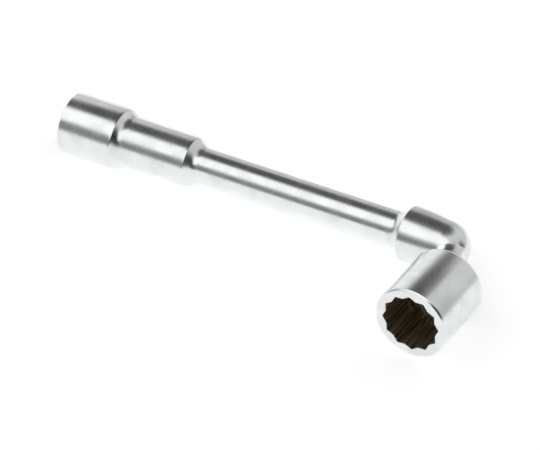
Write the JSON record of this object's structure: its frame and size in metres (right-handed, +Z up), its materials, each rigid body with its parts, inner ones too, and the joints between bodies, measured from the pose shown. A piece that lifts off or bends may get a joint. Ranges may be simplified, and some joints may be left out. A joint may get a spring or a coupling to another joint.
{
  "type": "angled box wrench",
  "caption": "Right-angled box wrench in satin chrome, with a hexagon socket in line with its long arm and a twelve-point socket on its short arm.",
  "frame": {"origin": "on the surface that the wrench lies on, under the middle of its box", "axes": "the long arm lies along X with its socket towards -X, the short arm points along -Y, and +Z is up, square to both arms"},
  "size_m": [0.1598, 0.0516, 0.025],
  "materials": {
    "satin_chrome": "satin chrome plate, with dark unplated steel in the broached bores"
  },
  "bodies": {
    "root": {"straight_socket": "satin_chrome", "clearance_barrel": "satin_chrome", "shank": "satin_chrome", "elbow": "satin_chrome", "angled_socket": "satin_chrome"}
  },
  "joints": []
}
